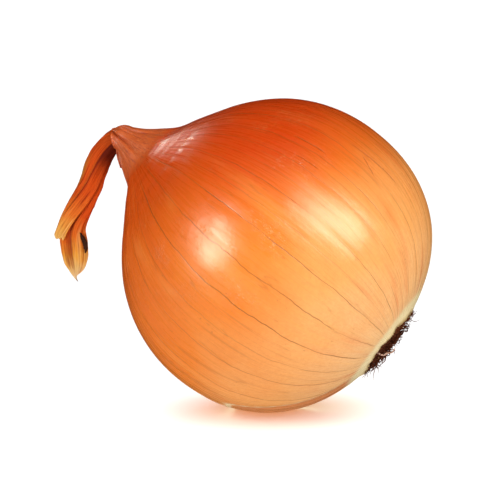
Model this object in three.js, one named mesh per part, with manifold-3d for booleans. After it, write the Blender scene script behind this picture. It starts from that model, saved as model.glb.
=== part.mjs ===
// A yellow onion lying on its side, as cured for storage: a round bulb in its dry skin, a papery
// neck that folds over and hangs, and a corky root plate with a tuft of dry roots.
// Millimetres, +Z up. The origin is the centre of the small flat spot that the bulb rests on,
// +X is the way the root end points over the ground, and the bulb's axis lies in the XZ plane.
import * as THREE from "three";
import Module from "manifold-3d";
import { mergeVertices } from "three/addons/utils/BufferGeometryUtils.js";

const wasm = await Module();
wasm.setup();

// ---------- Driving dimensions ----------
// Heights are along the bulb's axis, from its widest ring.

const clearance = 0.3; // between any two pieces

const bulbDiameter = 86;
const rootHeight = 39.5; // widest ring to the root end
const rootFullness = 2.3; // 2 is an ellipse, more is squarer
const shoulderHeight = 41.3; // widest ring to where the shoulders would close without a neck
const shoulderShare = 0.835; // share of that height where the shoulders turn up into the neck
const axisTilt = 36.5; // degrees of the axis above the ground
const restDepth = 0.75; // height of the cap that the flat resting spot takes off the bulb

const neckLength = 14.9; // shoulder height to the neck's tip
const neckRadius = 3.9; // half the neck's height where its tip starts to round
const neckTip = 3.6; // length of the rounded tip
const neckSpread = 1.35; // how much wider than high the neck is at its tip
const neckLean = 0.8; // how far the tip sits off the axis, on the underside
const foldAngle = 53; // degrees between the axis and the way the neck's mouth faces
const foldDepth = 3.3; // neck's tip to the middle of the mouth, along the axis
const foldOffset = 2.5; // axis to the middle of the mouth, on the underside
const mouthReach = 5.2; // how far the cut of the mouth goes from its middle

const outerWidth = 6.6;
const outerThickness = 2.6;
const innerWidth = 6.2;
const innerThickness = 2.4;
const scrapWidth = 1.7;
const scrapThickness = 0.8;
const scrapSeat = 0.66; // thickness of the inner leaf beside the scrap, as a share of its full one
const leafFlare = 1.15; // how much deeper both leaves are at the mouth
const ribDepth = 0.07; // share of a leaf's half width

const plateRadius = 9.4;
const plateSeat = 2.2; // depth of the hollow that the plate sits in
const plateRim = 0.5; // height of the plate's edge above the bulb
const plateDome = 0.9; // height of the plate's centre above its edge

const rootRadius = 0.34; // at the plate
const rootTipRadius = 0.16;

const bulbRadius = bulbDiameter / 2;
const neckHeight = shoulderHeight + neckLength;
const tilt = THREE.MathUtils.degToRad(axisTilt);

// ---------- Helpers ----------

// A closed geometry as a solid that can be cut.
function solidOf(geometry) {
  const bare = geometry.clone();
  bare.deleteAttribute("normal");
  bare.deleteAttribute("uv");
  const merged = mergeVertices(bare, 1e-4);
  return new wasm.Manifold(
    new wasm.Mesh({
      numProp: 3,
      vertProperties: merged.attributes.position.array,
      triVerts: new Uint32Array(merged.index.array),
    }),
  );
}

function geometryOf(solid) {
  const mesh = solid.getMesh();
  const geometry = new THREE.BufferGeometry();
  geometry.setAttribute("position", new THREE.BufferAttribute(mesh.vertProperties, 3));
  geometry.setIndex(new THREE.BufferAttribute(mesh.triVerts, 1));
  geometry.computeVertexNormals();
  return geometry;
}

// Moves every corner of a geometry by a rule that changes the point it is given.
function reshape(geometry, rule) {
  const position = geometry.attributes.position;
  const point = new THREE.Vector3();
  for (let i = 0; i < position.count; i++) {
    point.fromBufferAttribute(position, i);
    rule(point);
    position.setXYZ(i, point.x, point.y, point.z);
  }
  return geometry;
}

// A closed strand along a curve. widthAt and depthAt give its half sizes at a share of its length,
// the width across the curve's plane of bending and the depth out of it.
function strandAlong(curve, { sides, steps, widthAt, depthAt = widthAt, ribs = 0 }) {
  const frames = curve.computeFrenetFrames(steps);
  return reshape(new THREE.CylinderGeometry(1, 1, 1, sides, steps), (point) => {
    const share = 0.5 - point.y;
    const ring = Math.round(share * steps);
    const ribbed = 1 + ribDepth * Math.cos(ribs * Math.atan2(point.x, point.z));
    const size = ribs ? ribbed : 1;
    const width = point.z * widthAt(share) * size;
    const depth = point.x * depthAt(share) * size;
    curve.getPointAt(share, point);
    point.addScaledVector(frames.binormals[ring], width);
    point.addScaledVector(frames.normals[ring], depth);
  });
}

// Values at evenly spaced shares of a length, joined smoothly.
function taper(...values) {
  const curve = new THREE.SplineCurve(values.map((value, i) => new THREE.Vector2(i, value)));
  return (share) => curve.getPoint(share).y;
}

// ---------- Bulb ----------
// The bulb's own frame has Y up the axis to the neck, X to the underside and Z across.

// Height of the root end's surface at a distance from the axis.
function rootEndAt(radius) {
  return -rootHeight * (1 - (radius / bulbRadius) ** rootFullness) ** (1 / rootFullness);
}

function shoulderRadiusAt(height) {
  return bulbRadius * Math.sqrt(1 - (height / shoulderHeight) ** 2);
}

const seatRadius = plateRadius + clearance;
const seatHeight = rootEndAt(seatRadius) + plateSeat;

// The bulb's outline from the hollow for the root plate to the neck's tip: radius and height.
function bulbOutline() {
  const outline = [
    new THREE.Vector2(0, seatHeight),
    new THREE.Vector2(seatRadius, seatHeight),
  ];
  const rootRings = 20;
  const rootStart = Math.asin(seatRadius / bulbRadius);
  for (let i = 0; i <= rootRings; i++) {
    const angle = THREE.MathUtils.lerp(rootStart, Math.PI / 2, i / rootRings);
    const radius = bulbRadius * Math.sin(angle);
    outline.push(new THREE.Vector2(radius, rootEndAt(Math.min(radius, bulbRadius))));
  }
  const shoulderRings = 12;
  const shoulderEnd = Math.asin(shoulderShare);
  for (let i = 1; i <= shoulderRings; i++) {
    const height = shoulderHeight * Math.sin((i / shoulderRings) * shoulderEnd);
    outline.push(new THREE.Vector2(shoulderRadiusAt(height), height));
  }
  const turn = outline.at(-1);
  const slope = ((bulbRadius / shoulderHeight) ** 2 * turn.y) / turn.x;
  const flare = neckLength * 0.43; // how far the shoulder's slope carries on
  const straight = neckLength * 0.52; // length of the straight part below the tip
  const base = new THREE.Vector2(neckRadius, neckHeight - neckTip);
  const neck = new THREE.CubicBezierCurve(
    turn,
    new THREE.Vector2(turn.x - slope * flare, turn.y + flare),
    new THREE.Vector2(neckRadius + 0.42 * straight, base.y - straight),
    base,
  );
  outline.push(...neck.getPoints(14).slice(1));
  const tipRings = 4;
  for (let i = 1; i <= tipRings; i++) {
    const angle = (i / tipRings) * (Math.PI / 2);
    const radius = i < tipRings ? neckRadius * Math.cos(angle) : 0;
    outline.push(new THREE.Vector2(radius, base.y + neckTip * Math.sin(angle)));
  }
  return outline;
}

// Leans and spreads the neck above the shoulders.
function shapeNeck(point) {
  const neckStart = shoulderHeight * shoulderShare;
  const share = Math.max(0, (point.y - neckStart) / (neckHeight - neckStart));
  point.x += neckLean * share;
  point.z *= 1 + (neckSpread - 1) * share ** 1.5;
}

const mouthCentre = new THREE.Vector3(foldOffset, neckHeight - foldDepth, 0);
const mouthAngle = THREE.MathUtils.degToRad(foldAngle);
const mouthFacing = new THREE.Vector3(Math.sin(mouthAngle), Math.cos(mouthAngle), 0);

// A block just outside the mouth, big enough to take off the neck there and nothing of the bulb.
function mouthBlock() {
  const size = 2 * mouthReach;
  const block = new THREE.BoxGeometry(size, size, 2 * size).translate(0, size / 2, 0);
  const up = new THREE.Vector3(0, 1, 0);
  block.applyQuaternion(new THREE.Quaternion().setFromUnitVectors(up, mouthFacing));
  return solidOf(block.translate(mouthCentre.x, mouthCentre.y, mouthCentre.z));
}

// The bulb with its neck cut off at the mouth, still in its own frame.
function uprightBulb() {
  const round = reshape(new THREE.LatheGeometry(bulbOutline(), 64), shapeNeck);
  return solidOf(round).subtract(mouthBlock());
}

// Lays the bulb's own frame down, with the neck up towards -X, and stands it on its resting spot.
const layDown = new THREE.Matrix4().makeBasis(
  new THREE.Vector3(-Math.sin(tilt), 0, -Math.cos(tilt)),
  new THREE.Vector3(-Math.cos(tilt), 0, Math.sin(tilt)),
  new THREE.Vector3(0, 1, 0),
);
const lyingBulb = uprightBulb().transform(layDown.toArray());
const restHeight = lyingBulb.boundingBox().min[2] + restDepth;
const spot = lyingBulb.slice(restHeight).bounds();
const spotMiddle = (spot.min[0] + spot.max[0]) / 2;
layDown.premultiply(new THREE.Matrix4().makeTranslation(-spotMiddle, 0, -restHeight));

function restingBulb() {
  const bulb = uprightBulb().transform(layDown.toArray());
  return geometryOf(bulb.trimByPlane([0, 0, 1], 0));
}

// ---------- Neck leaves ----------
// They come out of the mouth, fold over its edge and hang. Their paths are [x, y, z] from the
// middle of the mouth in the final frame, starting inside the neck.

const mouth = mouthCentre.clone().applyMatrix4(layDown);
const mouthOut = mouthFacing.clone().transformDirection(layDown);

function pathFromMouth(points) {
  return new THREE.CatmullRomCurve3(
    points.map(([x, y, z]) => new THREE.Vector3(x, y, z).add(mouth)),
  );
}

// Cuts off what a leaf has inside the neck.
function fromMouthOn(geometry) {
  const start = mouthOut.dot(mouth) + clearance;
  return geometryOf(solidOf(geometry).trimByPlane(mouthOut.toArray(), start));
}

const leafPair = (outerThickness + innerThickness) / 2;
const leafSpacing = leafPair * leafFlare * (1 + ribDepth) + clearance;
const outerSide = -leafSpacing / 2;
const innerSide = leafSpacing / 2;

function outerLeaf() {
  const side = outerSide;
  const path = pathFromMouth([
    [1.2, side, 0.4],
    [-2.4, side, -1.9],
    [-4.6, side, -4.6],
    [-5.3, side, -7.4],
    [-6.2, side, -10.6],
    [-8.4, side, -14.4],
    [-11.0, side, -18.7],
    [-12.7, side, -22.6],
    [-13.0, side, -25.4],
  ]);
  const half = outerWidth / 2;
  const deep = outerThickness / 2;
  return fromMouthOn(
    strandAlong(path, {
      sides: 20,
      steps: 26,
      widthAt: taper(half, half * 0.92, half * 0.86, half * 0.94, half, half * 1.05, half * 0.8),
      depthAt: taper(deep * leafFlare, deep, deep, deep, deep, deep, deep * 0.7),
      ribs: 5,
    }),
  );
}

function innerLeaf() {
  const side = innerSide;
  const path = pathFromMouth([
    [1.2, side, 0.4],
    [-2.2, side, -2.0],
    [-4.2, side, -4.8],
    [-4.9, side, -7.6],
    [-5.8, side, -10.8],
    [-7.9, side, -14.6],
    [-10.3, side, -18.9],
    [-11.8, side, -22.8],
    [-12.0, side, -26.2],
    [-11.1, side, -29.8],
    [-10.3, side, -33.6],
    [-10.4, side, -36.6],
  ]);
  const half = innerWidth / 2;
  const deep = innerThickness / 2;
  return fromMouthOn(
    strandAlong(path, {
      sides: 20,
      steps: 34,
      widthAt: taper(half, half * 0.9, half * 0.85, half * 0.95, half, half * 0.92, half * 0.2),
      depthAt: taper(deep * leafFlare, deep, deep, deep, deep, deep * 0.8, deep * 0.3),
      ribs: 5,
    }),
  );
}

// A dark torn scrap of an older leaf, caught on the inner leaf's edge below the outer one.
function leafScrap() {
  const side = innerSide - (innerThickness * scrapSeat + scrapThickness) / 2 - clearance;
  const path = pathFromMouth([
    [-9.5, side, -26.4],
    [-9.0, side, -28.0],
    [-9.1, side, -30.0],
    [-9.6, side, -31.8],
  ]);
  const half = scrapWidth / 2;
  const deep = scrapThickness / 2;
  return strandAlong(path, {
    sides: 10,
    steps: 10,
    widthAt: taper(half * 0.3, half * 0.9, half, half * 0.3),
    depthAt: taper(deep * 0.4, deep, deep, deep * 0.4),
  });
}

// ---------- Root plate and roots ----------

const plateEdge = rootEndAt(seatRadius) - plateRim;

// Height of the plate's domed face at a distance from the axis.
function plateFaceAt(radius) {
  return plateEdge - plateDome * (1 - (radius / plateRadius) ** 2);
}

function rootPlate() {
  const outline = [];
  const faceRings = 7;
  for (let i = 0; i <= faceRings; i++) {
    const radius = (plateRadius * i) / faceRings;
    outline.push(new THREE.Vector2(radius, plateFaceAt(radius)));
  }
  const underside = seatHeight - clearance;
  outline.push(new THREE.Vector2(plateRadius, underside), new THREE.Vector2(0, underside));
  return new THREE.LatheGeometry(outline, 40).applyMatrix4(layDown);
}

// Rings of roots, alike within a ring. Each goes out from one distance from the axis to another
// while it swings round, rising off the face and coming to a last height over it.
const rootRings = [
  { count: 13, from: 7.3, to: 11.6, swing: 24, rise: 0.5, end: 0.5, shortest: 0.72, turned: 0 },
  { count: 10, from: 4.9, to: 9.0, swing: -34, rise: 1.7, end: 2.0, shortest: 0.7, turned: 11 },
  { count: 7, from: 2.0, to: 6.2, swing: 52, rise: 3.1, end: 3.7, shortest: 0.65, turned: 30 },
];

// How high a root's middle may lie at a distance from the axis, just clear of plate and bulb.
function restingLineAt(radius) {
  const face = radius < plateRadius ? plateFaceAt(radius) : plateEdge;
  const skin = rootEndAt(radius) - (radius < seatRadius ? plateRim : 0);
  return Math.min(face, skin) - rootRadius - clearance;
}

function dryRoot(ring, turn, lengthShare) {
  const steps = 6;
  const points = [];
  for (let i = 0; i <= steps; i++) {
    const share = (i / steps) * lengthShare;
    const radius = THREE.MathUtils.lerp(ring.from, ring.to, share ** 1.2);
    const angle = THREE.MathUtils.degToRad(turn + ring.swing * share ** 1.5);
    const lift = ring.rise * Math.sin((share * Math.PI) / 2) + (ring.end - ring.rise) * share;
    const height = restingLineAt(radius) - lift;
    points.push(new THREE.Vector3(radius * Math.cos(angle), height, radius * Math.sin(angle)));
  }
  const strand = strandAlong(new THREE.CatmullRomCurve3(points), {
    sides: 6,
    steps,
    widthAt: (share) => THREE.MathUtils.lerp(rootRadius, rootTipRadius, share),
  });
  return strand.applyMatrix4(layDown);
}

// ---------- Materials and assembly ----------

const skin = new THREE.MeshStandardMaterial({ color: 0xdb7b33, roughness: 0.35, metalness: 0 });
const dryLeaf = new THREE.MeshStandardMaterial({ color: 0xb9561f, roughness: 0.6, metalness: 0 });
const paleLeaf = new THREE.MeshStandardMaterial({ color: 0xd0924a, roughness: 0.65, metalness: 0 });
const deadLeaf = new THREE.MeshStandardMaterial({ color: 0x6b4230, roughness: 0.8, metalness: 0 });
const cork = new THREE.MeshStandardMaterial({ color: 0x7a4f35, roughness: 0.9, metalness: 0 });
const dryRootBark = new THREE.MeshStandardMaterial({ color: 0x4b2c1d, roughness: 0.85, metalness: 0 });

const onion = new THREE.Group();
onion.name = "yellow_onion";

function addPiece(name, geometry, material) {
  const mesh = new THREE.Mesh(geometry, material);
  mesh.name = name;
  onion.add(mesh);
}

addPiece("bulb", restingBulb(), skin);
addPiece("neck_leaf_outer", outerLeaf(), dryLeaf);
addPiece("neck_leaf_inner", innerLeaf(), paleLeaf);
addPiece("neck_leaf_scrap", leafScrap(), deadLeaf);
addPiece("root_plate", rootPlate(), cork);

let rootNumber = 0;
for (const ring of rootRings) {
  for (let i = 0; i < ring.count; i++) {
    rootNumber += 1;
    const turn = ring.turned + (i / ring.count) * 360;
    const reach = THREE.MathUtils.lerp(ring.shortest, 1, 0.5 + 0.5 * Math.sin(rootNumber * 2.4));
    const name = "root_" + String(rootNumber).padStart(2, "0");
    addPiece(name, dryRoot(ring, turn, reach), dryRootBark);
  }
}

export default onion;
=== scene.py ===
import math
import random
from bisect import bisect_right

import bmesh
import bpy
from mathutils import Matrix, Vector


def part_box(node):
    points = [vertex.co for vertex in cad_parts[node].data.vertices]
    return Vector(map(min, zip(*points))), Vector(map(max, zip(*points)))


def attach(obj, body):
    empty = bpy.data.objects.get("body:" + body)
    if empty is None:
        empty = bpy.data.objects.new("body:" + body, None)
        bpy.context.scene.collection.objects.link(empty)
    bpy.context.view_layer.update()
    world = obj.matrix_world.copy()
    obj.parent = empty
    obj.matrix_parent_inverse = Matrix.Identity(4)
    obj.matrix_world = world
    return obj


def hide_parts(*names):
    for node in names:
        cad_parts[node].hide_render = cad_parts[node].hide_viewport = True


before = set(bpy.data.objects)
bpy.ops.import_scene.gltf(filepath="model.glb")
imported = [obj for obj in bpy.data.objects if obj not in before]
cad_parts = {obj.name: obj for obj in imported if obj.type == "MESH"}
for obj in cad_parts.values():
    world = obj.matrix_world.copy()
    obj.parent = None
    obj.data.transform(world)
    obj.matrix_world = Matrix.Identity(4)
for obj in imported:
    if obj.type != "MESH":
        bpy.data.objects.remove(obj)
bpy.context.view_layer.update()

mm = 0.001


# Picking and moving by hand

def startEditing(piece):
    if bpy.context.mode != "OBJECT":
        bpy.ops.object.mode_set(mode="OBJECT")
    bpy.ops.object.select_all(action="DESELECT")
    piece.select_set(True)
    bpy.context.view_layer.objects.active = piece
    bpy.ops.object.mode_set(mode="EDIT")


def stopEditing():
    if bpy.context.mode != "OBJECT":
        bpy.ops.object.mode_set(mode="OBJECT")
    bpy.ops.object.select_all(action="DESELECT")


def pickOnly(*pieces):
    stopEditing()
    for piece in pieces:
        piece.select_set(True)
    bpy.context.view_layer.objects.active = pieces[0]


def nameIt(name):
    piece = bpy.context.object
    piece.name = name
    piece.data.name = name
    return piece


def pick(piece, test):
    # selects the corners that pass the test, in edit mode, and returns how many
    shape = bmesh.from_edit_mesh(piece.data)
    for part in (shape.faces, shape.edges, shape.verts):
        for each in part:
            each.select_set(False)
    chosen = [corner for corner in shape.verts if test(corner)]
    for corner in chosen:
        corner.select_set(True)
    shape.select_flush(True)
    bmesh.update_edit_mesh(piece.data)
    return len(chosen)


def pickedMiddle(piece):
    shape = bmesh.from_edit_mesh(piece.data)
    places = [corner.co for corner in shape.verts if corner.select]
    return sum(places, Vector()) / len(places)


def turn(degrees, axis, about, frameOfAxes=None):
    # right-handed; the operator turns the other way when there is no window
    settings = {"value": -math.radians(degrees), "orient_axis": axis, "center_override": about}
    if frameOfAxes is not None:
        settings.update(orient_type="GLOBAL", orient_matrix=frameOfAxes,
                        orient_matrix_type="GLOBAL")
    bpy.ops.transform.rotate(**settings)


def resize(scale, about, frameOfAxes=None):
    settings = {"value": scale, "center_override": about}
    if frameOfAxes is not None:
        settings.update(orient_type="GLOBAL", orient_matrix=frameOfAxes,
                        orient_matrix_type="GLOBAL")
    bpy.ops.transform.resize(**settings)


def extrude(step):
    bpy.ops.mesh.extrude_region_move(TRANSFORM_OT_translate={"value": step})


def finishWith(piece, kind, **settings):
    # adds a modifier and applies it at once
    pickOnly(piece)
    modifier = piece.modifiers.new(kind.title(), kind)
    for setting, value in settings.items():
        setattr(modifier, setting, value)
    bpy.ops.object.modifier_apply(modifier=modifier.name)


def cloudsOf(name, size, depth=2):
    clouds = bpy.data.textures.new(name, "CLOUDS")
    clouds.noise_scale = size
    clouds.noise_depth = depth
    return clouds


def place(piece, matrix):
    pickOnly(piece)
    piece.matrix_world = matrix
    bpy.ops.object.transform_apply(location=True, rotation=True, scale=True)


def smoothStep(value, low, high):
    share = min(max((value - low) / (high - low), 0), 1)
    return share * share * (3 - 2 * share)


# Shader maths: a wire is one output of a node, and maths on wires adds Math nodes

class Wire:
    def __init__(self, tree, socket=None):
        self.tree = tree
        self.socket = socket

    def node(self, kind, inputs=None, output=0, stops=None, **settings):
        made = self.tree.nodes.new("ShaderNode" + kind)
        for setting, value in settings.items():
            setattr(made, setting, value)
        if stops:
            ramp = made.color_ramp.elements
            while len(ramp) < len(stops):
                ramp.new(1)
            for stop, (position, colour) in zip(ramp, stops):
                stop.position = position
                stop.color = (*colour, 1)
        for key, value in (inputs or {}).items():
            if isinstance(value, Wire):
                self.tree.links.new(value.socket, made.inputs[key])
            elif isinstance(value, tuple) and len(value) == 3 and made.inputs[key].type == "RGBA":
                made.inputs[key].default_value = (*value, 1)
            else:
                made.inputs[key].default_value = value
        return Wire(self.tree, made.outputs[output] if made.outputs else None)

    def other(self, output):
        # another output of the same node
        return Wire(self.tree, self.socket.node.outputs[output])

    def maths(self, operation, *values):
        return self.node("Math", dict(enumerate(values)), operation=operation)

    def __add__(self, other):
        return self.maths("ADD", self, other)

    def __sub__(self, other):
        return self.maths("SUBTRACT", self, other)

    def __rsub__(self, other):
        return self.maths("SUBTRACT", other, self)

    def __mul__(self, other):
        return self.maths("MULTIPLY", self, other)

    def __truediv__(self, other):
        return self.maths("DIVIDE", self, other)

    __radd__ = __add__
    __rmul__ = __mul__

    def ramp(self, low, high, to=(0, 1)):
        # eases from one value to another as this one goes from low to high
        return self.node("MapRange", {"Value": self, "From Min": low, "From Max": high,
                                      "To Min": to[0], "To Max": to[1]},
                         interpolation_type="SMOOTHSTEP")

    def mix(self, first, second, blend="MIX"):
        # this wire is the factor
        return self.node("Mix", {0: self, 6: first, 7: second}, output=2,
                         data_type="RGBA", blend_type=blend)

    def colours(self, *stops):
        return self.node("ValToRGB", {0: self}, stops=stops)


def newMaterial(name):
    material = bpy.data.materials.new(name)
    material.use_nodes = True
    material.node_tree.nodes.clear()
    return material, Wire(material.node_tree)


def give(piece, material, slot, *nodes):
    piece.data.materials.clear()
    piece.data.materials.append(material)
    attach(piece, "root")
    if nodes:
        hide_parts(*nodes)


# The bulb, made upright on its root end and laid down afterwards: Z up the axis to the neck,
# X to the underside, Y to the front. Sizes are in millimetres.

bulb = {
    "radius": (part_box("bulb")[1].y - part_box("bulb")[0].y) / 2 / mm,
    "tilt": 36.5,  # degrees of the axis above the floor
    "rootHeight": 39.5,
    "rootFullness": 2.3,
    "shoulderHeight": 41.3,
    "shoulderShare": 0.835,  # where the shoulders turn up into the neck
    "neckLength": 14.9,
    "neckRadius": 3.9,
    "neckTip": 3.6,
    "neckSpread": 1.35,  # wider than high
    "neckLean": 0.8,
    "mouth": (2.5, 0, 52.9),
    "mouthAngle": 53,  # degrees off the axis
    "mouthReach": 5.4,  # how far from its middle the cut goes
    # steps out of the mouth and down into its pocket, with the scale of each new ring
    "lip": [(0.3, 1.07), (0.15, 1.02), (-0.25, 0.93)],
    "pocket": [(-0.7, 0.86), (-0.7, 0.84), (-0.6, 0.75), (-0.4, 0.6)],
    "seatRadius": 9.7,
    "seatDepth": 2.2,
    # degrees between veins, from the back round by the underside, the front and the top
    "veinGaps": [11, 9, 11.5, 8.5, 11, 12, 9, 11, 11, 9, 11, 9.6, 9, 15.2, 11.2, 11.7, 12.9,
                 13.6, 7.4, 8, 5.9, 7, 8, 11.5, 10, 11, 8, 11, 12, 9, 11, 10, 11, 10, 12],
    "veinStrengths": [0.5, 0.8, 0.4, 0.9, 0.5, 0.7, 0.3, 0.9, 0.6, 0.8, 0.4, 0.7, 0.5, 0.75, 0.6,
                      0.35, 0.95, 0.75, 1, 0.4, 0.95, 0.4, 0.65, 0.65, 0.8, 0.5, 0.8, 0.4, 0.7,
                      0.5, 0.9, 0.4, 0.7, 0.5, 0.8],
    # where the outer skin ends on the underside, in flutes and shares of the way to the neck
    "tear": {"from": 11.7, "rise": 7.6, "width": 5, "low": 0.12, "high": 0.35, "depth": 0.3},
    "veinDepth": 0.12,
    "collar": 43.5,  # height of the valley where the papery neck meets the flesh
    "valleyDepth": 0.8,
    "foldDepth": 0.7,
    "unevenness": 0.5,
    "raggedness": 2.2,  # of the skin's edge round the root plate
}


def rootEndAt(radius):
    share = min(radius / bulb["radius"], 1)
    power = bulb["rootFullness"]
    return -bulb["rootHeight"] * (1 - share ** power) ** (1 / power)


def bulbOutline():
    # radius and height from the middle of the root plate's seat to the neck's tip
    radius = bulb["radius"]
    seat = bulb["seatRadius"]
    floor = rootEndAt(seat) + bulb["seatDepth"]
    outline = [(0, floor), (seat * 0.5, floor), (seat - 0.4, floor), (seat - 0.1, floor - 0.5),
               (seat, floor - 1.2), (seat + 0.1, rootEndAt(seat) + 0.15)]
    start = math.asin((seat + 0.5) / radius)
    for i in range(31):
        angle = start + (math.pi / 2 - start) * i / 30
        outline.append((radius * math.sin(angle), rootEndAt(radius * math.sin(angle))))
    end = math.asin(bulb["shoulderShare"])
    for i in range(1, 19):
        height = bulb["shoulderHeight"] * math.sin(end * i / 18)
        outline.append((radius * math.sqrt(1 - (height / bulb["shoulderHeight"]) ** 2), height))
    turnRadius, turnHeight = outline[-1]
    slope = (radius / bulb["shoulderHeight"]) ** 2 * turnHeight / turnRadius
    flare = bulb["neckLength"] * 0.43
    straight = bulb["neckLength"] * 0.52
    base = bulb["shoulderHeight"] + bulb["neckLength"] - bulb["neckTip"]
    bends = [Vector((turnRadius, turnHeight)),
             Vector((turnRadius - slope * flare, turnHeight + flare)),
             Vector((bulb["neckRadius"] + 0.42 * straight, base - straight)),
             Vector((bulb["neckRadius"], base))]
    for i in range(1, 25):
        share = i / 24
        weights = ((1 - share) ** 3, 3 * share * (1 - share) ** 2,
                   3 * share ** 2 * (1 - share), share ** 3)
        outline.append(tuple(sum((bend * weight for bend, weight in zip(bends, weights)),
                                 Vector((0, 0)))))
    for i in range(1, 6):
        angle = math.pi / 2 * i / 5
        rounded = bulb["neckRadius"] * math.cos(angle) if i < 5 else 0
        outline.append((rounded, base + bulb["neckTip"] * math.sin(angle)))
    return outline


tilt = math.radians(bulb["tilt"])
alongNeck = Vector((-math.cos(tilt), 0, math.sin(tilt)))
toUnderside = Vector((-math.sin(tilt), 0, -math.cos(tilt)))
toFront = Vector((0, -1, 0))
lying = Matrix((toUnderside, toFront, alongNeck)).transposed().to_4x4()
bulbLow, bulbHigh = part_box("bulb")
reachRight = max(r * math.sin(tilt) - h * math.cos(tilt) for r, h in bulbOutline())
reachUp = max(r * math.cos(tilt) + h * math.sin(tilt) for r, h in bulbOutline() if h < 34)
bulbCentre = Vector((bulbHigh.x - reachRight * mm, 0, bulbHigh.z - reachUp * mm))
layDown = Matrix.Translation(bulbCentre) @ lying


def aroundAxis(place):
    # degrees from the back, by the underside
    return math.degrees(math.atan2(place.x, -place.y)) % 360


def fluteAt(angle, edges):
    i = min(max(bisect_right(edges, angle) - 1, 0), len(edges) - 2)
    return i + (angle - edges[i]) / (edges[i + 1] - edges[i])


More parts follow.
